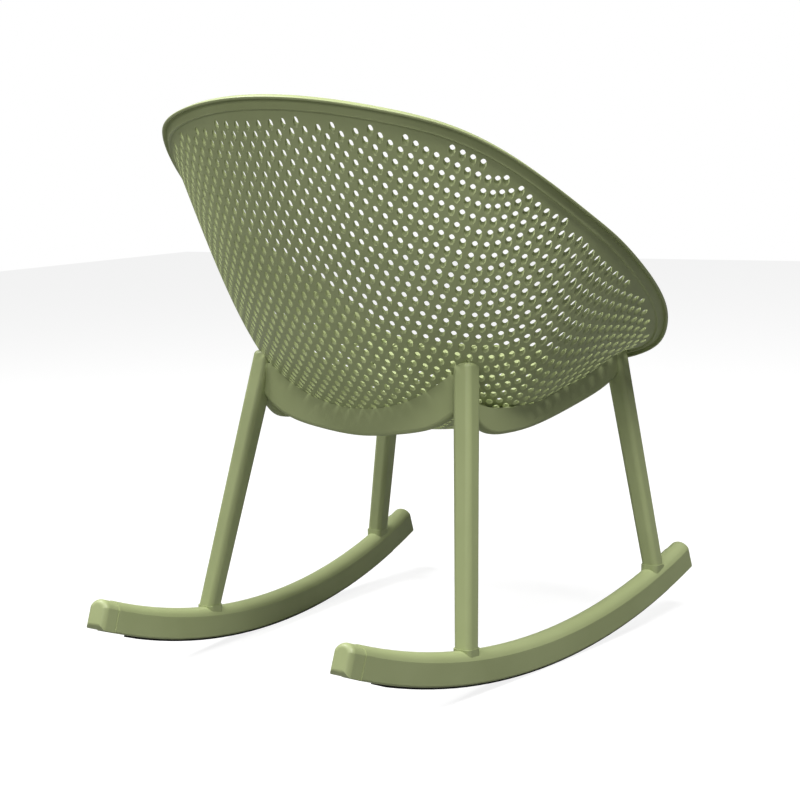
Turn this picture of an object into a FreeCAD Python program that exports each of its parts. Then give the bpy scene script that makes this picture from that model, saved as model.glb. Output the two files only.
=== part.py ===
"""Moulded plastic rocking chair: perforated bucket shell, one-piece four-leg base, two bolted rockers.

Millimetres. +Z is up, the front of the chair faces -Y and the sitter's left is +X.
The origin is on the floor, midway along the rockers and midway between them.
"""
import math
import os

import FreeCAD
import Part

Vec = FreeCAD.Vector

# The chair is drawn with its feet level; empty, it rests rolled forward until its weight is over the contact
rest_roll_deg = 3.3
rest_shift = -51.1

# Height of the bowl's lowest point over the floor; posts, rails, bosses and shell are measured up from it
bowl_height = 277.0

# Rockers: arc, section and place
floor_arc_radius = 958.0
contact_offset = 25.0
rocker_length = 700.0
rocker_half_gap = 209.6
rocker_toe_deg = 4.0
rocker_width = 30.0
rocker_side_height = 28.0
rocker_dome_height = 10.0
rocker_edge_radius = 2.5

# Black rubber tread strips under the rockers
tread_thickness = 3.5
tread_groove_depth = 1.0
tread_width = 22.0
tread_rear_inset = 68.0
tread_front_inset = 58.0

# Plugs that close the rocker ends
cap_length = 24.0
cap_inset = 0.8
cap_nose_radius = 7.0
cap_tongue_length = 22.0
cap_tongue_width = 18.0
cap_tongue_height = 20.0
cap_tongue_clearance = 0.2

# Legs: the feet stand on the rockers and the post heads reach up beside the shell
rear_leg_inset = 223.0
front_leg_inset = 82.0
rear_foot_rise = 3.3
front_foot_rise = 5.6
rear_post = (155.5, 63.2)
front_post = (179.3, -245.3)
post_height = 99.0
leg_foot_width = 23.0
leg_head_width = 26.0
leg_corner_radius = 6.5
post_edge_radius = 5.5
pad_margin = 1.0
pad_depth = 16.0
pad_corner_radius = 6.0

# Ring rails between the posts: each lower and upper edge as points of its outer face
rail_thickness = 15.0
rail_edge_radius = 5.0
back_rail_y = 75.0
back_rail_low = ((0.0, 0.5), (63.0, 6.0), (122.0, 21.0), (146.0, 37.0), (162.0, 57.0))
back_rail_high = ((0.0, 53.0), (99.0, 73.0), (162.0, 87.0))
front_rail_y = -256.0
front_rail_low = ((0.0, 60.0), (70.0, 60.0), (130.0, 62.0), (164.0, 69.0), (182.0, 77.0))
front_rail_high = ((0.0, 95.0), (99.0, 96.0), (182.0, 97.0))
side_rail_x = 167.0
side_rail_splay = 0.0779
side_rail_low = ((70.0, 43.0), (52.0, 23.0), (37.0, 13.0), (0.0, 7.6), (-51.0, 11.0), (-104.0, 21.0),
                 (-158.5, 34.5), (-204.0, 48.0), (-228.0, 59.0), (-246.0, 75.0))
side_rail_high = ((70.0, 55.0), (48.0, 46.5), (19.0, 40.5), (-32.0, 42.0), (-85.0, 53.0), (-139.0, 67.0),
                  (-196.0, 83.0), (-246.0, 96.0))

# Seat shell: wall, rolled lip and the middle of the bowl
shell_wall = 4.0
lip_width = 5.0
lip_thickness = 3.6
bowl_y = -40.0
drain_radius = 4.5
seat_clearance = 0.3

# One meridian of the bowl for each point of its right-hand lip, from the front to the back:
# lip point x, y and rise over the bottom, how far the bottom runs level, the wall's pull and its angle
bowl_stations = (
    (0.0, -290.0, 70.0, 100.0, 95.0, -40.0),
    (118.0, -289.0, 75.0, 110.0, 115.0, -24.0),
    (196.0, -277.0, 88.0, 120.0, 135.0, -6.0),
    (236.0, -264.0, 107.0, 133.0, 150.0, 16.0),
    (262.0, -236.0, 138.0, 148.0, 162.0, 37.0),
    (280.0, -184.0, 175.0, 162.0, 174.0, 51.0),
    (290.0, -120.0, 210.0, 175.0, 190.0, 61.0),
    (292.0, -60.0, 242.0, 187.0, 208.0, 68.0),
    (289.0, 0.0, 270.0, 194.0, 219.0, 71.0),
    (281.0, 62.0, 300.0, 192.0, 220.0, 70.0),
    (259.0, 122.0, 334.0, 189.0, 220.0, 69.0),
    (222.0, 180.0, 364.0, 184.0, 221.0, 69.0),
    (160.0, 237.0, 385.0, 178.0, 224.0, 69.0),
    (82.0, 270.0, 398.0, 174.0, 229.0, 70.0),
    (0.0, 281.0, 402.5, 172.0, 231.0, 70.5),
)

# Holes through the shell, drilled square to one tilted plane. The real pattern has about 2000 round holes.
# The solid has one in four of those above the ring, six-sided, each at a real hole's place
hole_radius = 4.1
hole_sides = 6
hole_draw_deg = 27.0
hole_pitch_across = 34.0
hole_pitch_up = 35.2
hole_start = 8.5
hole_border = 30.0
hole_low_rise = 105.0
hole_length = 30.0

# Rows of holes sag towards the sides, and rise again beyond the corners of the back
row_sag = 0.00071
row_corner = 205.0
row_rise = 0.24

# Bosses under the shell and the tabs on the ring that they stand on
boss_places = ((142.0, 14.0, 23.0), (150.0, -176.0, 49.0))
boss_radius = 9.0
boss_bite = 2.0
tab_thickness = 6.0
tab_width = 26.0
tab_reach = 40.0
tab_corner_radius = 8.0

# Bolts that hold the legs on the rockers
leg_bolt_radius = 4.0
leg_bolt_length = 40.0
leg_bolt_head_radius = 6.5
leg_bolt_head_height = 5.0
leg_bolt_clamp = 26.0
leg_insert_radius = 5.6
leg_insert_length = 16.0
leg_insert_bore_depth = 17.0
leg_washer_radius = 8.0
leg_washer_thickness = 1.6

# Screws that hold the shell on the ring
shell_screw_radius = 2.5
shell_screw_length = 14.0
shell_screw_head_radius = 4.75
shell_screw_head_height = 3.4
shell_insert_radius = 3.6
shell_insert_length = 9.0
shell_insert_bore_depth = 10.0
shell_washer_radius = 6.0
shell_washer_thickness = 1.0

# Shared by all the fasteners
head_edge_radius = 1.4
socket_depth = 2.2
leg_socket_width = 5.0
shell_socket_width = 3.0
hole_clearance = 0.3
insert_clearance = 0.1
thread_clearance = 0.1

# The pole of the bowl is left open by this share of each meridian, inside the drain hole
meridian_start = 0.008
seat_keep_out = 110.0

rocker_under_radius = floor_arc_radius - (tread_thickness - tread_groove_depth)
rocker_top_radius = rocker_under_radius - rocker_side_height - rocker_dome_height
across = Vec(1, 0, 0)
upward = Vec(0, 0, 1)
hole_drill = Vec(0, -math.sin(math.radians(hole_draw_deg)), math.cos(math.radians(hole_draw_deg)))
hole_climb = Vec(0, math.cos(math.radians(hole_draw_deg)), math.sin(math.radians(hole_draw_deg)))


def rod(radius, height, x, y, z):
    """An upright cylinder that stands on z."""
    return Part.makeCylinder(radius, height, Vec(x, y, z))


def mirrored(shape):
    """The same shape on the other side of the chair's middle plane."""
    return shape.mirror(Vec(0, 0, 0), across)


def at_rest(shape):
    """A finished shape, rolled to where the empty chair comes to rest and centred on the origin."""
    copy = shape.copy()
    copy.rotate(Vec(0, contact_offset, floor_arc_radius), across, rest_roll_deg)
    copy.translate(Vec(0, rest_shift, 0))
    return copy


def on_rocker(shape):
    """A shape drawn along the middle plane, set on the left rocker's toed line."""
    copy = shape.copy()
    copy.rotate(Vec(0, 0, 0), upward, rocker_toe_deg)
    copy.translate(Vec(rocker_half_gap, 0, 0))
    return copy


def foot_place(along):
    """The plan position of a place on the left rocker's line."""
    toe = math.radians(rocker_toe_deg)
    return rocker_half_gap - along * math.sin(toe), along * math.cos(toe)


def crest_height(along):
    """The height of a rocker's crest over the floor at a place on its line."""
    return floor_arc_radius - rocker_top_radius * math.cos(math.radians(roll_angle(along)))


def leg_feet():
    """The plan position and the height of each left foot."""
    rear, front = rocker_length / 2 - rear_leg_inset, front_leg_inset - rocker_length / 2
    return [foot_place(rear) + (crest_height(rear) + rear_foot_rise,),
            foot_place(front) + (crest_height(front) + front_foot_rise,)]


def roll_angle(along):
    """The roll angle in degrees of a place on the floor arc, given by its distance along the rocker."""
    return math.degrees(math.asin((along - contact_offset) / floor_arc_radius))


def rolled(face, first, last):
    """A section at the contact line, swept along the floor arc between two roll angles."""
    axis_point = Vec(0, contact_offset, floor_arc_radius)
    start = face.copy()
    start.rotate(axis_point, across, first)
    return start.revolve(axis_point, across, last - first)


def rocker_section(inset):
    """The domed section of a rocker at its contact line, drawn in all round by an inset."""
    half = rocker_width / 2 - inset
    under = floor_arc_radius - rocker_under_radius
    low = under + inset
    side = under + rocker_side_height - inset / 2
    top = floor_arc_radius - rocker_top_radius - inset
    y = contact_offset
    dome = Part.Arc(Vec(half, y, side), Vec(0, y, top), Vec(-half, y, side)).toShape()
    corners = [Vec(-half, y, side), Vec(-half, y, low), Vec(half, y, low), Vec(half, y, side)]
    lines = [Part.makeLine(a, b) for a, b in zip(corners, corners[1:])]
    return Part.Face(Part.Wire([dome] + lines))


def flat_section(width, low, high):
    """A rectangle across the contact line between two heights."""
    half = width / 2
    y = contact_offset
    corners = [Vec(-half, y, low), Vec(half, y, low), Vec(half, y, high), Vec(-half, y, high)]
    return Part.Face(Part.makePolygon(corners + corners[:1]))


def arc_reach(point):
    """How far a point lies from the axis of the floor arc."""
    return math.hypot(point.y - contact_offset, point.z - floor_arc_radius)


def cap_joint(end):
    """The roll angle where an end cap meets its rocker: end is +1 at the rear, -1 at the front."""
    return roll_angle(end * rocker_length / 2) - end * math.degrees(cap_length / floor_arc_radius)


def at_joint(end, shape):
    """A shape drawn at the contact line, turned to the joint at one end of the rocker."""
    copy = shape.copy()
    copy.rotate(Vec(0, contact_offset, floor_arc_radius), across, cap_joint(end))
    return copy


def cap_tongue(end, clearance):
    """The tongue of an end cap, from the joint into the rocker."""
    middle = floor_arc_radius - rocker_under_radius + rocker_side_height / 2
    half = cap_tongue_height / 2 + clearance
    section = flat_section(cap_tongue_width + 2 * clearance, middle - half, middle + half)
    return at_joint(end, section.extrude(Vec(0, -end * (cap_tongue_length + clearance), 0)))


def tread_strip():
    """The tread strip along the middle plane."""
    section = flat_section(tread_width, 0.0, tread_thickness)
    return rolled(section, roll_angle(rocker_length / 2 - tread_rear_inset),
                  roll_angle(tread_front_inset - rocker_length / 2))


def bolt_well(foot):
    """The wide part of a leg bolt's hole, from the floor up to the seat of the washer."""
    x, y, z = foot
    return rod(leg_washer_radius + hole_clearance, z - leg_bolt_clamp, x, y, 0)


def pad(foot):
    """The raised seat that levels the rocker under a leg."""
    x, y, z = foot
    side = leg_foot_width + 2 * pad_margin
    block = Part.makeBox(side, side, pad_depth, Vec(x - side / 2, y - side / 2, z - pad_depth))
    uprights = [e for e in block.Edges if abs(e.tangentAt(e.FirstParameter).z) > 0.99]
    return block.makeFillet(pad_corner_radius, uprights)


def make_rocker():
    """The left rocker: arc, end sockets, pads under the legs, bolt holes and the tread's groove."""
    body = rolled(rocker_section(0), cap_joint(1), cap_joint(-1))
    low = [e for e in body.Edges if e.Length > rocker_length / 2 and
           arc_reach(e.valueAt(e.FirstParameter)) > rocker_under_radius - 1]
    body = body.makeFillet(rocker_edge_radius, low)
    sockets = [cap_tongue(end, cap_tongue_clearance) for end in (1, -1)]
    body = body.cut([tread_strip()] + sockets)
    body = on_rocker(body).fuse([pad(foot) for foot in leg_feet()]).removeSplitter()
    for foot in leg_feet():
        shank = rod(leg_bolt_radius + hole_clearance, foot[2] + 1, foot[0], foot[1], 0)
        body = body.cut([shank, bolt_well(foot)])
    return body


def make_tread():
    """The left tread strip, with the holes that the bolt heads pass through."""
    return on_rocker(tread_strip()).cut([bolt_well(foot) for foot in leg_feet()])


def make_cap(end):
    """A left end cap: a rounded nose and the tongue that plugs into the rocker."""
    nose = rocker_section(cap_inset).extrude(Vec(0, end * cap_length, 0))
    tip = max(nose.Faces, key=lambda f: end * f.CenterOfMass.y)
    nose = at_joint(end, nose.makeFillet(cap_nose_radius, tip.Edges))
    return on_rocker(nose.fuse(cap_tongue(end, 0)).removeSplitter())


def rounded_square(side, radius, centre):
    """A level square wire with rounded corners."""
    half = side / 2
    near = half - radius
    bulge = near + radius * math.sqrt(0.5)
    edges = []
    for turn in range(4):
        spin = FreeCAD.Rotation(upward, 90 * turn)
        places = [Vec(half, -near, 0), Vec(half, near, 0), Vec(bulge, bulge, 0), Vec(near, half, 0)]
        first, second, middle, last = [centre + spin.multVec(p) for p in places]
        edges.append(Part.makeLine(first, second))
        edges.append(Part.Arc(second, middle, last).toShape())
    return Part.Wire(edges)


def make_leg(foot, post):
    """A left leg with its post, from the level foot to the level head."""
    top = Vec(post[0], post[1], bowl_height + post_height)
    wires = [rounded_square(leg_foot_width, leg_corner_radius, Vec(*foot)),
             rounded_square(leg_head_width, leg_corner_radius, top)]
    leg = Part.makeLoft(wires, True, True)
    head = max(leg.Faces, key=lambda f: f.CenterOfMass.z)
    return leg.makeFillet(post_edge_radius, head.Edges)


def smooth_edge(points):
    """A smooth curve through points."""
    curve = Part.BSplineCurve()
    curve.interpolate(points)
    return curve.toShape()


def rail(low_points, high_points, inward):
    """A rail between two smooth edges of its outer face, given its thickness inward."""
    low = smooth_edge(low_points)
    high = smooth_edge(high_points)
    ends = [Part.makeLine(low_points[0], high_points[0]), Part.makeLine(low_points[-1], high_points[-1])]
    face = Part.Face(Part.Wire(Part.sortEdges([low, ends[1], high, ends[0]])[0]))
    solid = face.extrude(inward * rail_thickness)
    middle = low_points[len(low_points) // 2].z
    under = [e for e in solid.Edges if e.Length > 100 and abs(e.valueAt(
             (e.FirstParameter + e.LastParameter) / 2).z - middle) < rail_thickness]
    return solid.makeFillet(rail_edge_radius, under)


def both_ways(half):
    """The points of half an edge, from the far right over the middle to the far left."""
    return [(-x, z) for x, z in reversed(half[1:])] + list(half)


def cross_rail(low, high, y, inward):
    """A rail across the chair at one distance from the middle."""
    low_points = [Vec(x, y, bowl_height + z) for x, z in both_ways(low)]
    return rail(low_points, [Vec(x, y, bowl_height + z) for x, z in both_ways(high)], inward)


def side_edge(edge):
    """The points of one edge of the left side rail, splayed outward towards the front."""
    return [Vec(side_rail_x + (rear_post[1] - y) * side_rail_splay, y, bowl_height + z) for y, z in edge]


def side_rail():
    """The left side rail."""
    inward = Vec(-1, -side_rail_splay, 0).normalize()
    return rail(side_edge(side_rail_low), side_edge(side_rail_high), inward)


def boss_feet():
    """The plan position and the height of the foot of each left boss."""
    return [(x, y, bowl_height + rise) for x, y, rise in boss_places]


def tab(place):
    """A flat tab on the inner face of the left side rail, drilled for a shell screw."""
    x, y, top = place
    half = tab_width / 2
    plate = Part.makeBox(tab_reach, tab_width, tab_thickness, Vec(x - half, y - half, top - tab_thickness))
    free = [e for e in plate.Edges if abs(e.tangentAt(e.FirstParameter).z) > 0.99 and e.CenterOfMass.x < x]
    return plate.makeFillet(tab_corner_radius, free)


def make_frame(keep_out):
    """The one-piece base: four legs, the ring of rails and the tabs under the shell."""
    rear_foot, front_foot = leg_feet()
    half = [make_leg(rear_foot, rear_post), make_leg(front_foot, front_post), side_rail()]
    half += [tab(place) for place in boss_feet()]
    pieces = half + [mirrored(piece) for piece in half]
    pieces.append(cross_rail(back_rail_low, back_rail_high, back_rail_y, Vec(0, -1, 0)))
    pieces.append(cross_rail(front_rail_low, front_rail_high, front_rail_y, Vec(0, 1, 0)))
    body = pieces[0].fuse(pieces[1:]).removeSplitter()
    holes = []
    for x, y, top in boss_feet():
        low = top - 1.5 * tab_thickness
        holes.append(rod(shell_screw_radius + hole_clearance, 2 * tab_thickness, x, y, low))
    for x, y, z in leg_feet():
        holes.append(rod(leg_insert_radius + insert_clearance, leg_insert_bore_depth, x, y, z))
    return body.cut([keep_out] + holes + [mirrored(hole) for hole in holes])


def meridian(station, inset):
    """The control points of one meridian of the bowl, moved inward by an inset and opened at the pole."""
    x, y, rise, level, pull, angle = station
    along = Vec(math.cos(math.radians(angle)), 0, math.sin(math.radians(angle)))
    outward = Vec(along.z, 0, -along.x)
    rim = Vec(math.hypot(x, y - bowl_y), 0, bowl_height + rise)
    end = rim - outward * (lip_width + inset) - along * (lip_thickness / 2)
    start = Vec(0, 0, bowl_height + inset)
    points = [start, start + Vec(level, 0, 0), end - along * pull, end]
    opened = []
    while points:
        opened.insert(0, points[-1])
        points = [a + (b - a) * meridian_start for a, b in zip(points, points[1:])]
    return [headed(station, point) for point in opened]


def lip_corner(station, out, up):
    """A corner of the lip's section at one station, measured from the end of the outer wall."""
    x, y, rise, level, pull, angle = station
    along = Vec(math.cos(math.radians(angle)), 0, math.sin(math.radians(angle)))
    outward = Vec(along.z, 0, -along.x)
    rim = Vec(math.hypot(x, y - bowl_y), 0, bowl_height + rise)
    point = rim + outward * (out - lip_width) + along * (up - lip_thickness / 2)
    return headed(station, point)


def headed(station, point):
    """A point of a meridian's own plane, turned to the station's heading about the bowl."""
    heading = math.atan2(station[1] - bowl_y, station[0])
    return Vec(point.x * math.cos(heading), bowl_y + point.x * math.sin(heading), point.z)


def full_ring(points):
    """A closed smooth curve through a point for each station and its mirror image on the right."""
    headings = [math.atan2(station[1] - bowl_y, station[0]) for station in bowl_stations]
    headings += [math.pi - heading for heading in reversed(headings[1:-1])]
    headings.append(headings[0] + 2 * math.pi)
    points = points + [Vec(-p.x, p.y, p.z) for p in reversed(points[1:-1])]
    curve = Part.BSplineCurve()
    curve.interpolate(Points=points, Parameters=headings, PeriodicFlag=True)
    return curve


def bowl_rows(inset):
    """The four closed control curves of the bowl's surface, from the pole to the lip."""
    controls = [meridian(station, inset) for station in bowl_stations]
    return [full_ring([points[row] for points in controls]) for row in range(4)]


def bowl_face(rows):
    """The bowl's surface spanned by its four control curves."""
    surface = Part.BSplineSurface()
    surface.buildFromPolesMultsKnots([row.getPoles() for row in rows], [4, 4], rows[0].getMultiplicities(),
                                     [0, 1], rows[0].getKnots(), False, True, 3, 3)
    return surface.toShape()


def solid_between(outer_inset, inner_inset, lip_rings):
    """The bowl between two insets, closed along the given rings at the lip and by a strip at the pole."""
    outer = bowl_rows(outer_inset)
    inner = bowl_rows(inner_inset)
    rings = [ring.toShape() for ring in [outer[3]] + lip_rings + [inner[3]]]
    pole = Part.makeRuledSurface(outer[0].toShape(), inner[0].toShape())
    faces = [bowl_face(outer), bowl_face(inner), pole]
    faces += [Part.makeRuledSurface(a, b) for a, b in zip(rings, rings[1:])]
    shell = Part.Compound(faces)
    shell.sewShape()
    solid = Part.Solid(shell.Shells[0])
    if solid.Volume < 0:
        solid.reverse()
    return solid


def field_outline(surface):
    """The edge of the field of holes, as a face in the coordinates of the tilted plane."""
    corners = []
    for k in range(120):
        meridian_line = surface.vIso(2 * math.pi * k / 120 + surface.bounds()[2])
        low = meridian_line.parameterAtDistance(-hole_border, meridian_line.LastParameter)
        place = meridian_line.value(low)
        corners.append(Vec(place.x, place.dot(hole_climb), 0))
    return Part.Face(Part.makePolygon(corners + corners[:1]))


def row_shift(x):
    """How far a row of holes is shifted up the plane at a distance from the middle."""
    near = min(abs(x), row_corner)
    return row_rise * (abs(x) - near) - row_sag * near ** 2


def hole_cutters():
    """A prism for each hole that the solid has."""
    surface = bowl_face(bowl_rows(0.0)).Surface
    field = field_outline(surface)
    start = bowl_height * hole_climb.z + hole_start
    cutters = []
    for row in range(-9, 24):
        for column in range(-8, 9):
            x = (column + row % 2 / 2) * hole_pitch_across
            up = start + row * hole_pitch_up / 2 + row_shift(x)
            if not field.isInside(Vec(x, up, 0), 0.1, True):
                continue
            foot = across * x + hole_climb * up
            hit = Part.Line(foot, foot + hole_drill).intersectCS(surface)[0][0]
            if hit.Z < bowl_height + hole_low_rise:
                continue
            start_place = Vec(hit.X, hit.Y, hit.Z) - hole_drill * hole_length / 2
            section = polygon_face(start_place, across * hole_radius, hole_climb * hole_radius, hole_sides)
            cutters.append(section.extrude(hole_drill * hole_length))
    return cutters


def make_seat():
    """The seat shell: wall, lip, holes, drain hole and the four bosses that stand on the ring's tabs."""
    corners = ((lip_width, 0.0), (lip_width, lip_thickness), (-shell_wall, lip_thickness))
    lip = [full_ring([lip_corner(station, out, up) for station in bowl_stations]) for out, up in corners]
    wall = solid_between(0.0, shell_wall, lip)
    wall = wall.cut([rod(drain_radius, bowl_height, 0, bowl_y, bowl_height / 2)] + hole_cutters())
    above = solid_between(boss_bite, seat_keep_out, [])
    bosses = []
    bores = []
    for x, y, top in boss_feet():
        boss = rod(boss_radius, bowl_height, x, y, top).cut(above)
        bosses.append(min(boss.Solids, key=lambda s: s.BoundBox.ZMin))
        bores.append(rod(shell_insert_radius + insert_clearance, shell_insert_bore_depth, x, y, top))
    wall = wall.fuse(bosses + [mirrored(boss) for boss in bosses])
    return wall.cut(bores + [mirrored(bore) for bore in bores])


def polygon_face(centre, first, second, sides):
    """A flat face with equal sides, given the half-axes of the circle round it."""
    turns = [2 * math.pi * k / sides for k in range(sides)]
    corners = [centre + first * math.cos(turn) + second * math.sin(turn) for turn in turns]
    return Part.Face(Part.makePolygon(corners + corners[:1]))


def button_bolt(shank_radius, length, head_radius, head_height, socket_width, place):
    """A button-headed bolt pointing up, its head's seat at the given place."""
    x, y, z = place
    head = rod(head_radius, head_height, x, y, z - head_height)
    head = head.makeFillet(head_edge_radius, [min(head.Edges, key=lambda e: e.BoundBox.ZMax)])
    radius = socket_width / math.sqrt(3)
    under = Vec(x, y, z - head_height)
    socket = polygon_face(under, across * radius, Vec(0, radius, 0), 6).extrude(upward * socket_depth)
    return head.fuse(rod(shank_radius, length, x, y, z)).cut(socket).removeSplitter()


def ring_of(outer_radius, inner_radius, height, place):
    """A flat or tall ring that stands on the given place."""
    x, y, z = place
    return rod(outer_radius, height, x, y, z).cut(rod(inner_radius, height, x, y, z))


def four_of(shapes):
    """A group of separate solids: the left-hand ones and their mirror images."""
    return Part.Compound(shapes + [mirrored(shape) for shape in shapes])


def leg_fasteners():
    """The bolts, washers and brass inserts that join the legs to the rockers."""
    bolts, washers, inserts = [], [], []
    for x, y, z in leg_feet():
        under = z - leg_bolt_clamp - leg_washer_thickness
        bolts.append(button_bolt(leg_bolt_radius, leg_bolt_length, leg_bolt_head_radius, leg_bolt_head_height,
                                 leg_socket_width, (x, y, under)))
        washers.append(ring_of(leg_washer_radius, leg_bolt_radius + hole_clearance, leg_washer_thickness,
                               (x, y, under)))
        inserts.append(ring_of(leg_insert_radius, leg_bolt_radius + thread_clearance, leg_insert_length,
                               (x, y, z)))
    return four_of(bolts), four_of(washers), four_of(inserts)


def shell_fasteners():
    """The screws, washers and brass inserts that join the seat shell to the ring."""
    screws, washers, inserts = [], [], []
    for x, y, top in boss_feet():
        under = top - tab_thickness - shell_washer_thickness
        screws.append(button_bolt(shell_screw_radius, shell_screw_length, shell_screw_head_radius,
                                  shell_screw_head_height, shell_socket_width, (x, y, under)))
        washers.append(ring_of(shell_washer_radius, shell_screw_radius + hole_clearance,
                               shell_washer_thickness, (x, y, under)))
        inserts.append(ring_of(shell_insert_radius, shell_screw_radius + thread_clearance,
                               shell_insert_length, (x, y, top)))
    return four_of(screws), four_of(washers), four_of(inserts)


def build():
    """Every piece of the chair by the name of its node."""
    rocker = make_rocker()
    tread = make_tread()
    keep_out = solid_between(-seat_clearance, seat_keep_out, [])
    pieces = {"seat_shell": make_seat(), "base_frame": make_frame(keep_out)}
    pieces["rocker_left"] = rocker
    pieces["rocker_right"] = mirrored(rocker)
    pieces["tread_left"] = tread
    pieces["tread_right"] = mirrored(tread)
    for name, end in (("front", -1), ("rear", 1)):
        cap = make_cap(end)
        pieces["end_cap_left_" + name] = cap
        pieces["end_cap_right_" + name] = mirrored(cap)
    pieces["leg_bolts"], pieces["leg_washers"], pieces["leg_inserts"] = leg_fasteners()
    pieces["shell_screws"], pieces["shell_washers"], pieces["shell_inserts"] = shell_fasteners()
    return pieces


def main():
    """Write one STEP file for each piece."""
    os.makedirs("parts", exist_ok=True)
    for name, drawn in build().items():
        shape = at_rest(drawn)
        box = shape.optimalBoundingBox(True, False)
        print("%-22s valid %s solids %d volume %.1f box %.0f..%.0f %.0f..%.0f %.0f..%.0f" % (
            name, shape.isValid(), len(shape.Solids), shape.Volume / 1000,
            box.XMin, box.XMax, box.YMin, box.YMax, box.ZMin, box.ZMax))
        shape.exportStep(os.path.join("parts", name + ".step"))


main()
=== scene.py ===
"""Looks of a moulded plastic rocking chair: a perforated tub, a one-piece base and two rockers."""
import logging
import math
from dataclasses import dataclass
from enum import Enum
from typing import Optional, Sequence

import bmesh
import bpy
import numpy as np
from mathutils import Matrix, Vector, kdtree


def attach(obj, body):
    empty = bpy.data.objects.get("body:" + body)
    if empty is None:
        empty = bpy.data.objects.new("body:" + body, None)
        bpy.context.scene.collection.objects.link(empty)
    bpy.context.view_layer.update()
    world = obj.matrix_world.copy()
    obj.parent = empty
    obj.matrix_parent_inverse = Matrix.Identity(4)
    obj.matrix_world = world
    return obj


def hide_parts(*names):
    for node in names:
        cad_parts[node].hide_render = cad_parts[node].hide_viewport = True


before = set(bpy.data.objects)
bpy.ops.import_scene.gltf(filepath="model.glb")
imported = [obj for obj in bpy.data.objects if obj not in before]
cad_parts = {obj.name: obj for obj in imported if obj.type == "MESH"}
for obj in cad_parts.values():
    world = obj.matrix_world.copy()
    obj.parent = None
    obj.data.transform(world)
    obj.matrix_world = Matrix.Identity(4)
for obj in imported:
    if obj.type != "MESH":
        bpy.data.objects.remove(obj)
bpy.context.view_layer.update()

LOG = logging.getLogger("rocking_chair")
BODY = "root"

Stations = tuple[tuple[float, ...], ...]


@dataclass(frozen=True)
class RestPose:
    """How the drawing, whose feet are level, stands at rest. Sizes in millimetres.

    The roll is about 0.2 degrees short of the empty chair's balance.
    """

    roll_deg: float = 3.3
    shift: float = -51.1
    arc_radius: float = 958.0
    contact: float = 25.0

    def matrix(self) -> Matrix:
        """Give the transform from the drawing in millimetres to the frame in metres.

        Returns:
            The transform as a 4 by 4 matrix.
        """
        pivot = Matrix.Translation((0.0, self.contact, self.arc_radius))
        turn = Matrix.Rotation(math.radians(self.roll_deg), 4, "X")
        shift = Matrix.Translation((0.0, self.shift, 0.0))
        return Matrix.Scale(0.001, 4) @ shift @ pivot @ turn @ pivot.inverted()


REST = RestPose()


def linear(code: str) -> tuple[float, float, float, float]:
    """Turn an sRGB hex colour into linear light.

    Args:
        code: The colour as six hex digits.

    Returns:
        Red, green, blue and a full alpha.
    """
    parts = [int(code[i:i + 2], 16) / 255 for i in (0, 2, 4)]
    light = [v / 12.92 if v <= 0.04045 else ((v + 0.055) / 1.055) ** 2.4 for v in parts]
    return light[0], light[1], light[2], 1.0


class ClosedSpline:
    """Smooth closed curves through points at given headings, one curve for each column of values."""

    def __init__(self, knots: np.ndarray, values: np.ndarray) -> None:
        """Fit the curves.

        Args:
            knots: The headings, ending one full turn after the first.
            values: A row of values for each heading but the last.
        """
        self.knots = knots
        self.values = values
        self.steps = np.diff(knots)
        count = len(self.steps)
        matrix = np.zeros((count, count))
        right = np.zeros_like(values)
        for i in range(count):
            before, after = (i - 1) % count, (i + 1) % count
            matrix[i, before] += self.steps[before]
            matrix[i, i] += 2 * (self.steps[before] + self.steps[i])
            matrix[i, after] += self.steps[i]
            right[i] = 6 * ((values[after] - values[i]) / self.steps[i]
                            - (values[i] - values[before]) / self.steps[before])
        self.bends = np.linalg.solve(matrix, right)

    def at(self, heading: np.ndarray) -> np.ndarray:
        """Read the curves.

        Args:
            heading: Headings in radians.

        Returns:
            A row of values for each heading.
        """
        turn = self.knots[-1] - self.knots[0]
        place = (heading - self.knots[0]) % turn + self.knots[0]
        i = np.clip(np.searchsorted(self.knots, place, side="right") - 1, 0, len(self.steps) - 1)
        j = (i + 1) % len(self.steps)
        h = self.steps[i][:, None]
        b = (place - self.knots[i])[:, None] / h
        a = 1 - b
        bend = ((a ** 3 - a) * self.bends[i] + (b ** 3 - b) * self.bends[j]) * h ** 2 / 6
        return a * self.values[i] + b * self.values[j] + bend


def crossed(a: np.ndarray, b: np.ndarray) -> np.ndarray:
    """Give the cross product of each pair of plane vectors.

    Args:
        a: The first vectors, one row each.
        b: The second vectors, one row each.

    Returns:
        A number for each pair.
    """
    return a[:, 0] * b[:, 1] - a[:, 1] * b[:, 0]


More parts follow.
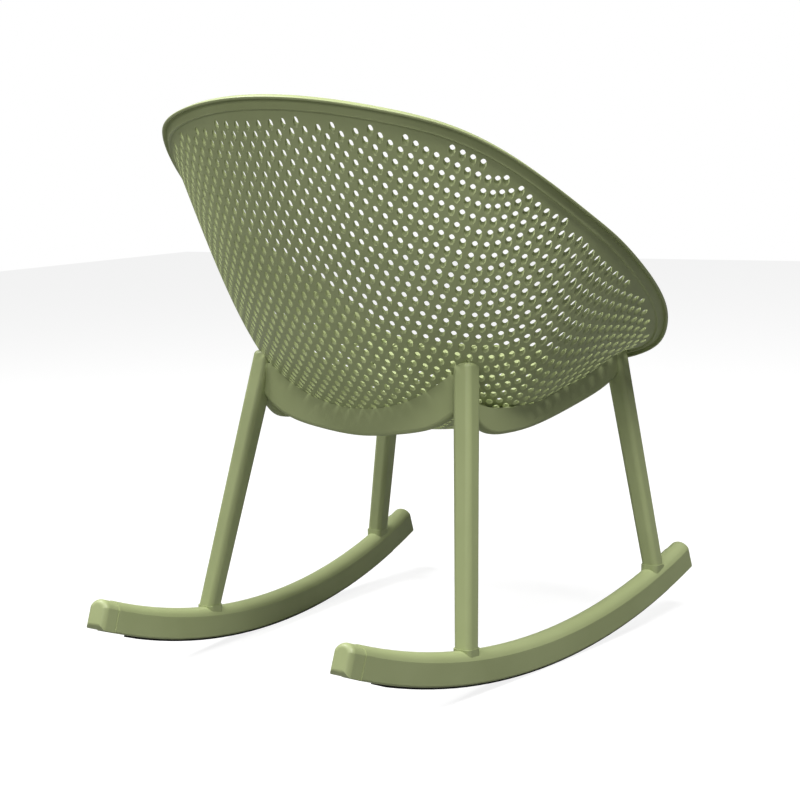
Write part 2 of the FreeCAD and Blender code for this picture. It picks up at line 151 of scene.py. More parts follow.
@dataclass
class Bowl:
    """The seat's smooth bowl, in the drawing's millimetres."""

    stations: Stations
    middle_y: float = -40.0
    bottom_z: float = 277.0
    lip_width: float = 5.0
    lip_thickness: float = 3.6
    wall: float = 4.0
    # The search for a point starts from a fan of seeds: how many headings and shares, from and to
    seed_turns: int = 120
    seed_shares: int = 48
    first_share: float = 0.01
    last_share: float = 1.04
    # It then walks to the point: how far past the lip, how often, and how far at a time
    past_lip: float = 1.08
    search_steps: int = 12
    nudge: float = 1e-5
    longest_move: float = 0.08

    def __post_init__(self) -> None:
        """Fit the control curves of the outer and the inner face."""
        self.rows = {0.0: self.fit(0.0), self.wall: self.fit(self.wall)}

    def headings(self) -> np.ndarray:
        """Give the heading of each control point round the full turn."""
        half = [math.atan2(s[1] - self.middle_y, s[0]) for s in self.stations]
        other = [math.pi - a for a in reversed(half[1:-1])]
        return np.array(half + other + [half[0] + 2 * math.pi])

    def controls(self, station: Sequence[float], inset: float) -> list[float]:
        """Give a meridian's four control points as one row of twelve numbers.

        Args:
            station: Lip point, level run, pull and angle of the meridian.
            inset: How far the face lies inside the outer one.

        Returns:
            The points' coordinates, x, y and z in turn.
        """
        x, y, z, level, pull, angle = station
        ca, sa = math.cos(math.radians(angle)), math.sin(math.radians(angle))
        out = self.lip_width + inset
        half = self.lip_thickness / 2
        end = (math.hypot(x, y - self.middle_y) - out * sa - half * ca, z + out * ca - half * sa)
        low = self.bottom_z + inset
        plane = ((0.0, low), (level, low), (end[0] - pull * ca, end[1] - pull * sa), end)
        turn = math.atan2(y - self.middle_y, x)
        row: list[float] = []
        for reach, height in plane:
            row += [reach * math.cos(turn), self.middle_y + reach * math.sin(turn), height]
        return row

    def fit(self, inset: float) -> ClosedSpline:
        """Fit the control curves of one face.

        Args:
            inset: How far the face lies inside the outer one.

        Returns:
            The curves of the four control points.
        """
        right = np.array([self.controls(s, inset) for s in self.stations])
        left = right[-2:0:-1] * np.array([-1.0, 1.0, 1.0] * 4)
        return ClosedSpline(self.headings(), np.vstack([right, left]))

    def points(self, heading: np.ndarray, share: np.ndarray, inset: float = 0.0) -> np.ndarray:
        """Give points of a face.

        Args:
            heading: Headings of the meridians in radians.
            share: How far along each meridian, 0 at the bottom and 1 at the lip.
            inset: Which face.

        Returns:
            A row of x, y and z for each point.
        """
        rows = self.rows[inset].at(heading)
        t = share[:, None]
        s = 1 - t
        weights = (s ** 3, 3 * s * s * t, 3 * s * t * t, t ** 3)
        return sum(w * rows[:, 3 * k:3 * k + 3] for k, w in enumerate(weights))

    def find(self, flat: np.ndarray, tilt: float, inset: float = 0.0) -> np.ndarray:
        """Find the points of a face that lie behind points of a tilted plane.

        Args:
            flat: Plane coordinates, across and up the plane, one row each.
            tilt: How far the plane is tilted up from level, in radians.
            inset: Which face.

        Returns:
            A row of x, y and z for each point.
        """
        up = np.array([0.0, math.cos(tilt), math.sin(tilt)])

        def plane(polar: np.ndarray) -> tuple[np.ndarray, np.ndarray]:
            """Give the surface points of polar seeds, and their plane coordinates."""
            share = np.clip(np.hypot(polar[:, 0], polar[:, 1]), 0.0, self.past_lip)
            there = self.points(np.arctan2(polar[:, 1], polar[:, 0]), share, inset)
            return there, np.stack([there[:, 0], there @ up], 1)

        turn, share = np.meshgrid(np.linspace(-math.pi, math.pi, self.seed_turns, endpoint=False),
                                  np.linspace(self.first_share, self.last_share, self.seed_shares))
        seeds = np.stack([(share * np.cos(turn)).ravel(), (share * np.sin(turn)).ravel()], 1)
        _, seen = plane(seeds)
        tree = kdtree.KDTree(len(seeds))
        for index, place in enumerate(seen):
            tree.insert((place[0], place[1], 0.0), index)
        tree.balance()
        polar = np.array([seeds[tree.find((p[0], p[1], 0.0))[1]] for p in flat])
        for _ in range(self.search_steps):
            _, here = plane(polar)
            _, east = plane(polar + np.array([self.nudge, 0.0]))
            _, north = plane(polar + np.array([0.0, self.nudge]))
            a, b = (east - here) / self.nudge, (north - here) / self.nudge
            det = crossed(a, b)
            det = np.where(np.abs(det) < 1e-6, 1e-6, det)
            miss = flat - here
            move = np.stack([crossed(miss, b) / det, crossed(a, miss) / det], 1)
            length = np.hypot(move[:, 0], move[:, 1])[:, None]
            polar = polar + move * np.minimum(1.0, self.longest_move / np.maximum(length, 1e-9))
        return plane(polar)[0]

    def share_at(self, heading: np.ndarray, distance: float) -> np.ndarray:
        """Find how far along each meridian a distance from its outer end lies.

        Args:
            heading: Headings of the meridians in radians.
            distance: The distance along the wall in millimetres.

        Returns:
            The share of each meridian.
        """
        # Only the upper part of each meridian is walked: the border is narrow
        shares = np.linspace(1.0, 0.6, 81)
        line = np.stack([self.points(heading, np.full(len(heading), s)) for s in shares])
        walked = np.vstack([np.zeros(len(heading)),
                            np.cumsum(np.linalg.norm(np.diff(line, axis=0), axis=2), axis=0)])
        return np.array([np.interp(distance, walked[:, k], shares) for k in range(len(heading))])


def inside(place: Vector, line: np.ndarray) -> bool:
    """Tell whether a point lies inside a closed line.

    Args:
        place: The point; only x and y count.
        line: The closed line's points, one row each.

    Returns:
        True if it lies inside.
    """
    x, y = line[:, 0], line[:, 1]
    next_x, next_y = np.roll(x, -1), np.roll(y, -1)
    spans = (y > place.y) != (next_y > place.y)
    crossing = x + (next_x - x) * (place.y - y) / np.where(next_y == y, 1e-9, next_y - y)
    return bool(np.count_nonzero(spans & (place.x < crossing)) % 2)


def held_sides(cell: bmesh.types.BMFace) -> int:
    """Count the sides that a cell shares with other cells."""
    return sum(not e.is_boundary for e in cell.edges)


def pinched(bm: bmesh.types.BMesh) -> list[bmesh.types.BMFace]:
    """Find cells that touch the rest at a corner only.

    Args:
        bm: The mesh of cells.

    Returns:
        One cell at each such corner.
    """
    found = []
    for vert in bm.verts:
        if sum(e.is_boundary for e in vert.link_edges) > 2:
            found.append(min(vert.link_faces, key=lambda f: (held_sides(f), f.index)))
    return found


def finished(bm: bmesh.types.BMesh, name: str, slot: str, sharp_deg: float,
             *nodes: str) -> bpy.types.Object:
    """Turn a mesh built in the drawing's millimetres into a finished piece of the chair.

    Args:
        bm: The mesh, which is used up.
        name: The piece's name.
        slot: The record's material slot. Not used.
        sharp_deg: Edges that turn by more than this stay crisp.
        nodes: The CAD nodes that the piece stands for.

    Returns:
        The piece, riding on the chair's one body.
    """
    bm.transform(REST.matrix())
    mesh = bpy.data.meshes.new(name)
    bm.to_mesh(mesh)
    bm.free()
    mesh.polygons.foreach_set("use_smooth", [True] * len(mesh.polygons))
    mesh.set_sharp_from_angle(angle=math.radians(sharp_deg))
    piece = bpy.data.objects.new(name, mesh)
    bpy.context.scene.collection.objects.link(piece)
    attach(piece, BODY)
    if nodes:
        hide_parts(*nodes)
    return piece


class Zone(Enum):
    """How a point of the seat's sheet finds its place on the bowl."""

    FIELD = 0
    BORDER = 1


@dataclass
class SeatShell:
    """The perforated tub: holes, plain border, creased band and rolled lip. Sizes in millimetres.

    The warp of the pattern follows the photographed rows near the middle of the back only.
    """

    bowl: Bowl
    # The oval holes: half their width, their height over their width, and how much higher in the
    # drawing plane they leave the inner face
    hole_radius: float = 3.4
    hole_stretch: float = 1.5
    inner_rise: float = 1.3
    # The even pattern in the drawing plane: twice the step of its cells, and the height of its middle
    cells: int = 84
    pitch_across: float = 17.0
    pitch_up: float = 17.6
    pattern_middle: float = 231.1
    # Rows sag up to a corner, whose place climbs from a level on, and rise beyond it
    row_sag: float = 0.00076
    row_corner: float = 207.0
    corner_climb: float = 0.33
    corner_level: float = 346.0
    row_rise: float = 0.12
    # Columns spread below a level, over a run, and draw together towards the sides
    spread: float = 0.00085
    spread_top: float = 385.0
    spread_run: float = 130.0
    narrowing: float = 1.0e-6
    # How far the plane that the holes are drawn through is tilted up from level
    draw_deg: float = 27.0
    # Distances below the lip: the lattice's frame, the first hole's middle and the band's lower edge
    border: float = 13.6
    first_hole: float = 24.0
    band: float = 12.0
    band_step: float = 0.9
    band_lift: float = 2.4
    crease: float = 0.7
    upper_row: tuple[float, float] = (1.2, 0.3)
    rim_points: int = 300
    # Cells keep clear of the frame, and their outer corners are drawn in by up to three shares
    cell_gap: float = 1.2
    cell_inset: float = 0.8
    pull_share: float = 0.08
    pull_steps: int = 3
    lip: tuple[tuple[float, float], ...] = (
        (0.5, 0.0), (3.9, 0.0), (4.8, 0.7), (5.0, 1.8), (4.7, 2.9), (3.8, 3.5), (-1.6, 3.7),
        (-3.2, 3.2), (-3.9, 2.0))
    bosses: tuple[tuple[float, float, float], ...] = (
        (142.0, 14.0, 300.0), (-142.0, 14.0, 300.0), (150.0, -176.0, 326.0), (-150.0, -176.0, 326.0))
    boss_radius: float = 9.0
    bore_radius: float = 3.7
    bore_depth: float = 10.0

    def flat(self, places: np.ndarray) -> np.ndarray:
        """Give the coordinates of points across and up the plane that the holes are drawn through.

        Args:
            places: A row of x, y and z for each point.

        Returns:
            A row of two coordinates for each point.
        """
        tilt = math.radians(self.draw_deg)
        return np.stack([places[:, 0], places[:, 1] * math.cos(tilt) + places[:, 2] * math.sin(tilt)], 1)

    def outline(self, distance: float) -> tuple[np.ndarray, np.ndarray]:
        """Give the line that runs round the bowl at a distance below the lip.

        Args:
            distance: The distance along the wall.

        Returns:
            The line's headings, and its points in the drawing plane.
        """
        turn = np.linspace(-math.pi, math.pi, self.rim_points, endpoint=False)
        return turn, self.flat(self.bowl.points(turn, self.bowl.share_at(turn, distance)))

    def make(self) -> bpy.types.Object:
        """Build the piece.

        Returns:
            The seat as an object in the frame.
        """
        bm = bmesh.new()
        self.sheet(bm)
        self.thicken(bm)
        self.place(bm)
        bmesh.ops.recalc_face_normals(bm, faces=bm.faces)
        for x, y, z in self.bosses:
            self.boss(bm, x, y, z)
        return finished(bm, "tub_seat", "shell_plastic", 32.0, "seat_shell")

    def sheet(self, bm: bmesh.types.BMesh) -> None:
        """Lay out the flat sheet: a lattice of cells with an oval hole each, and the border.

        Args:
            bm: The mesh to build in.
        """
        self.lattice(bm)
        cells = bm.faces[:]
        LOG.info("seat: %d cells in the lattice", len(cells))
        steps = [e for e in bm.edges if e.is_boundary]
        heading = bm.verts.layers.float.new("a")
        share = bm.verts.layers.float.new("b")
        bm.verts.layers.int.new("zone")
        bm.verts.layers.float.new("lift")
        bm.verts.layers.float.new("side")
        ring = bmesh.ops.create_circle(bm, cap_ends=False, segments=self.rim_points, radius=1.0)["verts"]
        turn, line = self.outline(self.border)
        for vert, place in zip(ring, line):
            vert.co = (place[0], place[1], 0.0)
        edges = list({e for v in ring for e in v.link_edges})
        bmesh.ops.triangle_fill(bm, use_beauty=True, use_dissolve=False, edges=steps + edges,
                                normal=(0, 0, 1))
        self.punch(bm, cells)
        for vert in bm.verts:
            vert[heading], vert[share] = vert.co.x, vert.co.y
        self.add_border(bm, ring, edges, turn)

    def lattice(self, bm: bmesh.types.BMesh) -> None:
        """Lay out the cells, one for each hole, as far as they fit inside the border.

        Args:
            bm: The mesh to build in.
        """
        bmesh.ops.create_grid(bm, x_segments=self.cells, y_segments=self.cells, size=self.cells / 2)
        across, up = self.pitch_across / 2, self.pitch_up / 2
        bm.transform(Matrix(((across, -across, 0, 0), (up, up, 0, self.pattern_middle),
                             (0, 0, 1, 0), (0, 0, 0, 1))))
        for vert in bm.verts:
            vert.co = self.settled(vert.co)
        _, limit = self.outline(self.first_hole)
        outside = [f for f in bm.faces if not inside(f.calc_center_median(), limit)]
        bmesh.ops.delete(bm, geom=outside, context="FACES")
        while loose := [f for f in bm.faces if held_sides(f) < 2] + pinched(bm):
            bmesh.ops.delete(bm, geom=list(set(loose)), context="FACES")
        self.pull_in(bm)
        # Two cuts on each of a cell's four sides give its hole twelve corners
        bmesh.ops.bisect_edges(bm, edges=bm.edges[:], cuts=2, edge_percents={})

    def punch(self, bm: bmesh.types.BMesh, cells: list[bmesh.types.BMFace]) -> None:
        """Open an oval hole in each cell that lies clear of the bosses.

        Args:
            bm: The mesh to build in.
            cells: The lattice's cells.
        """
        spots = self.boss_spots()
        bmesh.ops.inset_individual(bm, faces=cells, thickness=self.cell_inset, depth=0.0,
                                   use_even_offset=True)
        open_cells = []
        for cell in cells:
            middle = cell.calc_center_median()
            corners = list(cell.verts)
            # Corners keep their order, counted from the one nearest to +X, also in a sheared cell
            first = max(range(len(corners)), key=lambda k: (corners[k].co - middle).normalized().x)
            for k, vert in enumerate(corners):
                angle = math.tau * (k - first) / len(corners)
                vert.co = middle + self.hole_radius * Vector((
                    math.cos(angle), self.hole_stretch * math.sin(angle), 0.0))
            if all((middle.xy - spot).length > self.boss_radius + self.hole_radius for spot in spots):
                open_cells.append(cell)
        bmesh.ops.delete(bm, geom=open_cells, context="FACES")

    def add_border(self, bm: bmesh.types.BMesh, ring: list[bmesh.types.BMVert],
                   edges: list[bmesh.types.BMEdge], turn: np.ndarray) -> None:
        """Extrude the border from the lattice's frame up to the lip, row by row.

        Args:
            bm: The mesh to build in.
            ring: The frame's points in order.
            edges: The frame's edges.
            turn: The points' headings.
        """
        heading = bm.verts.layers.float["a"]
        share = bm.verts.layers.float["b"]
        zone = bm.verts.layers.int["zone"]
        lift = bm.verts.layers.float["lift"]
        for distance, raised in self.border_rows():
            out = bmesh.ops.extrude_edge_only(bm, edges=edges)["geom"]
            ring = self.carried(ring, out)
            shares = self.bowl.share_at(turn, distance)
            _, line = self.outline(distance)
            for vert, at, part, place in zip(ring, turn, shares, line):
                vert[heading], vert[share] = at, part
                vert[zone], vert[lift] = Zone.BORDER.value, raised
                vert.co = (place[0], place[1], 0.0)
            members = set(ring)
            edges = list({e for v in ring for e in v.link_edges if e.other_vert(v) in members})

    def settled(self, spot: Vector) -> Vector:
        """Move a point of the even lattice to its place in the warped pattern.

        Rows sag towards the sides of the back and rise again beyond its corners, and the columns
        spread below the back.

        Args:
            spot: The point in the drawing plane.

        Returns:
            Its place in the drawing plane.
        """
        wide = 1 + self.spread * min(max(self.spread_top - spot.y, 0.0), self.spread_run)
        wide *= 1 - self.narrowing * spot.x ** 2
        across = abs(spot.x) * wide
        corner = self.row_corner + self.corner_climb * (spot.y - self.corner_level)
        near = min(across, max(corner, 0.0))
        shift = self.row_rise * (across - near) - self.row_sag * near ** 2
        return Vector((spot.x * wide, spot.y + shift, 0.0))

    def pull_in(self, bm: bmesh.types.BMesh) -> None:
        """Draw the outer corners of the cells in from the border.

        Args:
            bm: The mesh of cells.
        """
        _, limit = self.outline(self.border + self.cell_gap)
        for vert in bm.verts:
            if inside(vert.co, limit):
                continue
            middles = [f.calc_center_median() for f in vert.link_faces]
            middle = sum(middles, Vector()) / len(middles)
            start = vert.co.copy()
            for step in range(1, self.pull_steps + 1):
                vert.co = start.lerp(middle, step * self.pull_share)
                if inside(vert.co, limit):
                    break

    def carried(self, ring: list[bmesh.types.BMVert], out: list) -> list[bmesh.types.BMVert]:
        """Follow a ring of points to its extruded copy.

        Args:
            ring: The points before the extrusion, in order.
            out: What the extrusion made.

        Returns:
            The copies in the same order.
        """
        new = {g for g in out if isinstance(g, bmesh.types.BMVert)}
        return [next(e.other_vert(v) for e in v.link_edges if e.other_vert(v) in new) for v in ring]

    def border_rows(self) -> tuple[tuple[float, float], ...]:
        """Give the rows up to the lip: how far below it each lies, and how far it is raised."""
        return ((self.band + self.band_step, self.band_lift - self.crease),
                (self.band, self.band_lift), (self.band / 2, self.band_lift / 2),
                self.upper_row, (0.0, 0.0))

    def boss_spots(self) -> list[Vector]:
        """Find where the bosses lie in the drawing plane.

        Returns:
            A point for each.
        """
        under = self.bowl.find(np.array([(x, y) for x, y, _ in self.bosses]), 0.0)
        return [Vector(p) for p in self.flat(under)]

    def thicken(self, bm: bmesh.types.BMesh) -> None:
        """Give the sheet its inner face, and cut the rim's edge into the rows of the lip.

        Args:
            bm: The mesh to build in.
        """
        side = bm.verts.layers.float["side"]
        share = bm.verts.layers.float["b"]
        zone = bm.verts.layers.int["zone"]
        made = bmesh.ops.extrude_face_region(bm, geom=bm.faces[:], use_keep_orig=True)["geom"]
        for part in made:
            if isinstance(part, bmesh.types.BMVert):
                part[side] = 1.0
        across = [e for e in bm.edges if e.verts[0][side] != e.verts[1][side]
                  and all(v[zone] == Zone.BORDER.value and v[share] > 0.9999 for v in e.verts)]
        bmesh.ops.subdivide_edges(bm, edges=across, cuts=len(self.lip), use_grid_fill=True)

    def place(self, bm: bmesh.types.BMesh) -> None:
        """Move every point of the flat sheet to its place on the bowl.

        Args:
            bm: The mesh to build in.
        """
        side = bm.verts.layers.float["side"]
        first = bm.verts.layers.float["a"]
        second = bm.verts.layers.float["b"]
        zone = bm.verts.layers.int["zone"]
        lift = bm.verts.layers.float["lift"]
        rows = len(self.lip) + 1
        groups: dict[tuple[int, int], list[bmesh.types.BMVert]] = {}
        for vert in bm.verts:
            groups.setdefault((vert[zone], round(vert[side] * rows)), []).append(vert)
        for (kind, row), verts in groups.items():
            values = np.array([(v[first], v[second]) for v in verts])
            inset = self.bowl.wall if row == rows else 0.0
            if row == rows and kind == Zone.FIELD.value:
                values[:, 1] += self.inner_rise
            if kind == Zone.FIELD.value:
                spots = self.bowl.find(values, math.radians(self.draw_deg), inset)
            else:
                spots = self.bowl.points(values[:, 0], values[:, 1], inset)
                along, outward = self.directions(values[:, 0], inset)
                out, up = self.lip[row - 1] if 0 < row < rows else (0.0, 0.0)
                raised = np.array([v[lift] for v in verts])[:, None] if row == 0 else 0.0
                spots = spots + outward * (out + raised) + along * up
            for vert, spot in zip(verts, spots):
                vert.co = spot

    def directions(self, heading: np.ndarray, inset: float) -> tuple[np.ndarray, np.ndarray]:
        """Give the directions along the wall and out of it at the lip.

        Args:
            heading: Headings of the meridians in radians.
            inset: Which face.

        Returns:
            Unit vectors along the wall, and unit vectors out of it.
        """
        rows = self.bowl.rows[inset].at(heading)
        along = rows[:, 9:12] - rows[:, 6:9]
        along /= np.linalg.norm(along, axis=1)[:, None]
        level = np.stack([-np.sin(heading), np.cos(heading), np.zeros(len(heading))], 1)
        outward = np.cross(level, along)
        return along, outward / np.linalg.norm(outward, axis=1)[:, None]

    def boss(self, bm: bmesh.types.BMesh, x: float, y: float, z: float) -> None:
        """Add a boss that stands on a tab of the base and runs into the wall of the bowl.

        Args:
            bm: The mesh to build in.
            x: The boss's middle.
            y: The boss's middle.
            z: The height of its foot.
        """
        made = bmesh.ops.create_cone(bm, cap_ends=True, segments=40, radius1=self.boss_radius,
                                     radius2=self.boss_radius, depth=1.0,
                                     matrix=Matrix.Translation((x, y, z + 0.5)))
        top = [v for v in made["verts"] if v.co.z > z + 0.5]
        wall = self.bowl.find(np.array([(v.co.x, v.co.y) for v in top]), 0.0)
        for vert, spot in zip(top, wall):
            vert.co.z = spot[2] + self.bowl.wall / 2
        faces = {f for v in made["verts"] for f in v.link_faces}
        foot = next(f for f in faces if all(v.co.z < z + 0.1 for v in f.verts))
        bmesh.ops.inset_individual(bm, faces=[foot], thickness=self.boss_radius - self.bore_radius,
                                   depth=0.0, use_even_offset=True)
        bore = bmesh.ops.extrude_discrete_faces(bm, faces=[foot])["faces"][0]
        bmesh.ops.translate(bm, vec=(0.0, 0.0, self.bore_depth), verts=bore.verts)


Source = Optional[bpy.types.NodeSocket]


def add_node(tree: bpy.types.NodeTree, kind: str, settings: Optional[dict[str, object]] = None,
             values: Optional[dict[str, object]] = None,
             links: Optional[dict[str, Source]] = None) -> bpy.types.Node:
    """Add a node with its settings, socket values and links.

    Args:
        tree: The material's or world's node tree.
        kind: The node's type.
        settings: Properties of the node.
        values: Values of its input sockets by name.
        links: Output sockets to link into its inputs by name.

    Returns:
        The node.
    """
    node = tree.nodes.new(kind)
    for key, value in (settings or {}).items():
        setattr(node, key, value)
    for key, value in (values or {}).items():
        node.inputs[key].default_value = value
    for key, source in (links or {}).items():
        tree.links.new(source, node.inputs[key])
    return node


def start_material(name: str) -> tuple[bpy.types.Material, bpy.types.NodeTree, bpy.types.NodeSocket]:
    """Start a procedural material.

    Args:
        name: The material's name.

    Returns:
        The material, its node tree, and the object coordinates in it.
    """
    material = bpy.data.materials.new(name)
    material.use_nodes = True
    tree = material.node_tree
    tree.nodes.clear()
    return material, tree, add_node(tree, "ShaderNodeTexCoord").outputs["Object"]


def varied(tree: bpy.types.NodeTree, middle: float, half: float,
           texture: bpy.types.NodeSocket) -> bpy.types.NodeSocket:
    """Let a value vary with a texture.

    Args:
        tree: The material's node tree.
        middle: The middle of its range.
        half: Half of its range.
        texture: The texture's output.

    Returns:
        The varying value.
    """
    node = add_node(tree, "ShaderNodeMapRange", links={"Value": texture},
                    values={"To Min": middle - half, "To Max": middle + half})
    return node.outputs["Result"]


@dataclass(frozen=True)
class MouldedPolypropylene:
    """Injection-moulded polypropylene with a fine eroded grain.

    It gives the eye an even olive green with a soft, broad shine.
    """

    name: str = "polypropylene_moulded_satin"
    colour: str = "A9B381"
    deep: str = "A3AD7B"
    roughness: float = 0.46
    ior: float = 1.49
    grain_mm: float = 1.1
    grain_height_mm: float = 0.035
    cloud_mm: float = 90.0
    rough_spread: float = 0.05

    def make(self) -> bpy.types.Material:
        """Build the material.

        Returns:
            The material.
        """
        material, tree, place = start_material(self.name)
        # Slow colour drift from the flow of the melt
        cloud = add_node(tree, "ShaderNodeTexNoise", links={"Vector": place},
                         values={"Scale": 1000 / self.cloud_mm, "Detail": 2.0})
        ramp = add_node(tree, "ShaderNodeValToRGB", links={"Fac": cloud.outputs["Fac"]})
        ramp.color_ramp.elements[0].position = 0.35
        ramp.color_ramp.elements[0].color = linear(self.deep)
        ramp.color_ramp.elements[1].position = 0.65
        ramp.color_ramp.elements[1].color = linear(self.colour)
        # The real grain is about 0.3 mm; it is drawn coarser so that it shows
        grain = add_node(tree, "ShaderNodeTexNoise", links={"Vector": place},
                         values={"Scale": 1000 / self.grain_mm, "Detail": 3.0})
        bump = add_node(tree, "ShaderNodeBump", links={"Height": grain.outputs["Fac"]},
                        values={"Strength": 0.5, "Distance": self.grain_height_mm / 1000})
        rough = varied(tree, self.roughness, self.rough_spread, grain.outputs["Fac"])
        shader = add_node(tree, "ShaderNodeBsdfPrincipled", values={"IOR": self.ior},
                          links={"Base Color": ramp.outputs["Color"], "Roughness": rough,
                                 "Normal": bump.outputs["Normal"]})
        add_node(tree, "ShaderNodeOutputMaterial", links={"Surface": shader.outputs["BSDF"]})
        return material


@dataclass(frozen=True)
class CuredRubber:
    """Black moulded rubber: matt, with fine ribs across the tread."""

    name: str = "rubber_moulded_matt"
    colour: str = "1B1B1C"
    roughness: float = 0.82
    ior: float = 1.52
    rib_mm: float = 3.0
    rib_height_mm: float = 0.4
    rough_spread: float = 0.08

    def make(self) -> bpy.types.Material:
        """Build the material.

        Returns:
            The material.
        """
        material, tree, place = start_material(self.name)
        # One wave repeats every 2 pi units over the scale, so a rib of rib_mm needs this scale
        ribs = add_node(tree, "ShaderNodeTexWave", links={"Vector": place},
                        settings={"wave_type": "BANDS", "bands_direction": "Y"},
                        values={"Scale": 1000 / self.rib_mm * math.tau / 20})
        bump = add_node(tree, "ShaderNodeBump", links={"Height": ribs.outputs["Fac"]},
                        values={"Strength": 0.7, "Distance": self.rib_height_mm / 1000})
        dust = add_node(tree, "ShaderNodeTexNoise", links={"Vector": place},
                        values={"Scale": 140.0, "Detail": 4.0})
        rough = varied(tree, self.roughness, self.rough_spread, dust.outputs["Fac"])
        shader = add_node(tree, "ShaderNodeBsdfPrincipled",
                          values={"Base Color": linear(self.colour), "IOR": self.ior},
                          links={"Roughness": rough, "Normal": bump.outputs["Normal"]})
        add_node(tree, "ShaderNodeOutputMaterial", links={"Surface": shader.outputs["BSDF"]})
        return material


@dataclass(frozen=True)
class TurnedMetal:
    """Plated or bare turned metal: bright, with fine turning marks that soften the shine."""

    name: str
    colour: str
    roughness: float
    mark_mm: float = 0.6
    rough_spread: float = 0.08

    def make(self) -> bpy.types.Material:
        """Build the material.

        Returns:
            The material.
        """
        material, tree, place = start_material(self.name)
        marks = add_node(tree, "ShaderNodeTexNoise", links={"Vector": place},
                         values={"Scale": 1000 / self.mark_mm, "Detail": 2.0})
        rough = varied(tree, self.roughness, self.rough_spread, marks.outputs["Fac"])
        shader = add_node(tree, "ShaderNodeBsdfPrincipled",
                          values={"Base Color": linear(self.colour), "Metallic": 1.0},
                          links={"Roughness": rough})
        add_node(tree, "ShaderNodeOutputMaterial", links={"Surface": shader.outputs["BSDF"]})
        return material


def dress(piece: bpy.types.Object, material: bpy.types.Material) -> None:
    """Give a piece its one material.

    Args:
        piece: The piece or CAD node.
        material: The material.
    """
    piece.data.materials.clear()
    piece.data.materials.append(material)


@dataclass(frozen=True)
class SoftLamp:
    """A square soft lamp: its name, where it hangs, its side in metres and its power in watts."""

    name: str
    place: tuple[float, float, float]
    size: float
    power: float
    aim: tuple[float, float, float] = (0.0, 0.0, 0.3)

    def make(self) -> None:
        """Hang the lamp, facing the chair."""
        data = bpy.data.lights.new(self.name, "AREA")
        data.size = self.size
        data.energy = self.power
        lamp = bpy.data.objects.new(self.name, data)
        lamp.location = self.place
        lamp.rotation_mode = "QUATERNION"
        lamp.rotation_quaternion = (Vector(self.aim) - Vector(self.place)).to_track_quat("-Z", "Y")
        bpy.context.scene.collection.objects.link(lamp)


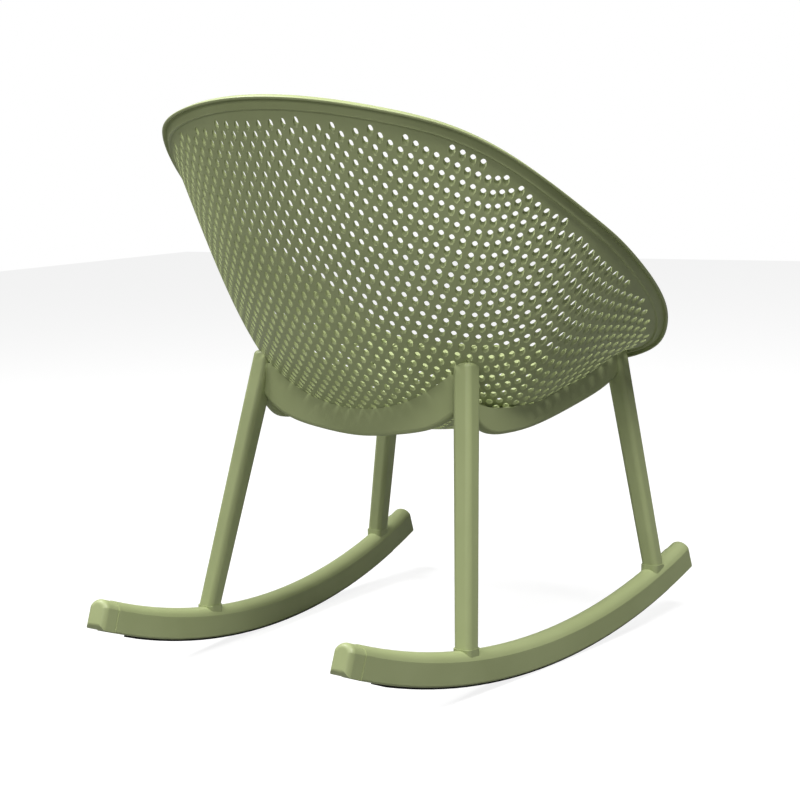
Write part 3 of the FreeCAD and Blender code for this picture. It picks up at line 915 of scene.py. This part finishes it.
@dataclass
class Studio:
    """A white studio: a pale floor, soft lamps and the photograph's camera.

    Two lamps hang high on the sides and a weak one behind.
    """

    eye: tuple[float, float, float] = (-1366.61, 1826.37, 546.13)
    right: tuple[float, float, float] = (-0.8029, -0.5961, 0.0)
    up: tuple[float, float, float] = (0.0596, -0.0803, 0.995)
    lens: float = 81.41
    sensor: float = 36.0
    shift_y: float = -0.9 / 800
    floor_colour: str = "888888"
    floor_size: float = 6.0
    floor_drop: float = 0.0005
    floor_glow: float = 0.86
    room_light: float = 0.1
    lamps: tuple[SoftLamp, ...] = (
        SoftLamp("lamp_key", (-1.2, 0.6, 2.9), 1.1, 80.0),
        SoftLamp("lamp_left", (1.5, 0.5, 2.7), 1.1, 80.0),
        SoftLamp("lamp_rear", (-0.2, 2.7, 2.1), 1.0, 20.0))

    def camera(self) -> None:
        """Set the camera where the photograph was taken from."""
        right, up = Vector(self.right).normalized(), Vector(self.up).normalized()
        back = right.cross(up)
        drawn = Matrix((right, up, back)).transposed().to_4x4()
        drawn.translation = Vector(self.eye)
        turned = REST.matrix() @ drawn
        place, turn, _ = turned.decompose()
        data = bpy.data.cameras.new("camera")
        data.lens = self.lens
        data.sensor_width = self.sensor
        data.shift_y = self.shift_y
        eye = bpy.data.objects.new("camera", data)
        eye.rotation_mode = "QUATERNION"
        eye.location = place
        eye.rotation_quaternion = turn
        bpy.context.scene.collection.objects.link(eye)
        bpy.context.scene.camera = eye

    def floor(self) -> None:
        """Lay the floor. It glows for the camera only, and keeps the chair's shadow."""
        bm = bmesh.new()
        bmesh.ops.create_grid(bm, x_segments=1, y_segments=1, size=self.floor_size)
        mesh = bpy.data.meshes.new("floor")
        bm.to_mesh(mesh)
        bm.free()
        floor = bpy.data.objects.new("floor", mesh)
        floor.location = (0.0, 0.0, -self.floor_drop)
        bpy.context.scene.collection.objects.link(floor)
        material = bpy.data.materials.new("floor_matt_paint")
        material.use_nodes = True
        tree = material.node_tree
        tree.nodes.clear()
        paint = add_node(tree, "ShaderNodeBsdfDiffuse", values={"Color": linear(self.floor_colour)})
        white = add_node(tree, "ShaderNodeEmission", values={"Strength": self.floor_glow})
        both = add_node(tree, "ShaderNodeAddShader")
        tree.links.new(paint.outputs["BSDF"], both.inputs[0])
        tree.links.new(white.outputs["Emission"], both.inputs[1])
        ray = add_node(tree, "ShaderNodeLightPath")
        pick = add_node(tree, "ShaderNodeMixShader", links={"Fac": ray.outputs["Is Camera Ray"]})
        tree.links.new(paint.outputs["BSDF"], pick.inputs[1])
        tree.links.new(both.outputs["Shader"], pick.inputs[2])
        add_node(tree, "ShaderNodeOutputMaterial", links={"Surface": pick.outputs["Shader"]})
        mesh.materials.append(material)

    def world(self) -> None:
        """Light the room evenly. Camera and transmission rays see it white."""
        world = bpy.data.worlds.new("studio")
        world.use_nodes = True
        tree = world.node_tree
        tree.nodes.clear()
        ray = add_node(tree, "ShaderNodeLightPath")
        seen = add_node(tree, "ShaderNodeMath", settings={"operation": "MAXIMUM"})
        tree.links.new(ray.outputs["Is Camera Ray"], seen.inputs[0])
        tree.links.new(ray.outputs["Is Transmission Ray"], seen.inputs[1])
        dim = add_node(tree, "ShaderNodeBackground",
                       values={"Color": (1, 1, 1, 1), "Strength": self.room_light})
        white = add_node(tree, "ShaderNodeBackground", values={"Color": (1, 1, 1, 1), "Strength": 1.0})
        pick = add_node(tree, "ShaderNodeMixShader", links={"Fac": seen.outputs["Value"]})
        tree.links.new(dim.outputs["Background"], pick.inputs[1])
        tree.links.new(white.outputs["Background"], pick.inputs[2])
        add_node(tree, "ShaderNodeOutputWorld", links={"Surface": pick.outputs["Shader"]})
        bpy.context.scene.world = world

    def make(self) -> None:
        """Set up the floor, the light, the camera and the plain view transform."""
        self.floor()
        self.world()
        for lamp in self.lamps:
            lamp.make()
        self.camera()
        bpy.context.scene.view_settings.view_transform = "Standard"


STATIONS: Stations = (
    (0.0, -290.0, 347.0, 100.0, 95.0, -40.0),
    (118.0, -289.0, 352.0, 110.0, 115.0, -24.0),
    (196.0, -277.0, 365.0, 120.0, 135.0, -6.0),
    (236.0, -264.0, 384.0, 133.0, 150.0, 16.0),
    (262.0, -236.0, 415.0, 148.0, 162.0, 37.0),
    (280.0, -184.0, 452.0, 162.0, 174.0, 51.0),
    (290.0, -120.0, 487.0, 175.0, 190.0, 61.0),
    (292.0, -60.0, 519.0, 187.0, 208.0, 68.0),
    (289.0, 0.0, 547.0, 194.0, 219.0, 71.0),
    (281.0, 62.0, 577.0, 192.0, 220.0, 70.0),
    (259.0, 122.0, 611.0, 189.0, 220.0, 69.0),
    (222.0, 180.0, 641.0, 184.0, 221.0, 69.0),
    (160.0, 237.0, 662.0, 178.0, 224.0, 69.0),
    (82.0, 270.0, 675.0, 174.0, 229.0, 70.0),
    (0.0, 281.0, 679.5, 172.0, 231.0, 70.5),
)


class Finish(Enum):
    """The chair's finishes."""

    PLASTIC = MouldedPolypropylene()
    RUBBER = CuredRubber()
    STEEL = TurnedMetal("steel_zinc_plated", "BFC2C4", 0.34)
    BRASS = TurnedMetal("brass_turned", "D0AE66", 0.3)


NODE_FINISHES: dict[str, Finish] = {
    "base_frame": Finish.PLASTIC,
    "rocker_left": Finish.PLASTIC,
    "rocker_right": Finish.PLASTIC,
    "end_cap_left_front": Finish.PLASTIC,
    "end_cap_left_rear": Finish.PLASTIC,
    "end_cap_right_front": Finish.PLASTIC,
    "end_cap_right_rear": Finish.PLASTIC,
    "tread_left": Finish.RUBBER,
    "tread_right": Finish.RUBBER,
    "leg_bolts": Finish.STEEL,
    "leg_washers": Finish.STEEL,
    "shell_screws": Finish.STEEL,
    "shell_washers": Finish.STEEL,
    "leg_inserts": Finish.BRASS,
    "shell_inserts": Finish.BRASS,
    "seat_shell": Finish.PLASTIC,
}


def main() -> None:
    """Build and dress the chair, and report each piece."""
    logging.basicConfig(level=logging.INFO, format="%(message)s")
    materials = {finish: finish.value.make() for finish in Finish}
    for node, finish in NODE_FINISHES.items():
        dress(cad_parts[node], materials[finish])
        LOG.info("%s: %s", node, finish.value.name)
    seat = SeatShell(Bowl(STATIONS)).make()
    dress(seat, materials[Finish.PLASTIC])
    LOG.info("%s: %d faces", seat.name, len(seat.data.polygons))
    Studio().make()


if __name__ == "__main__":
    main()
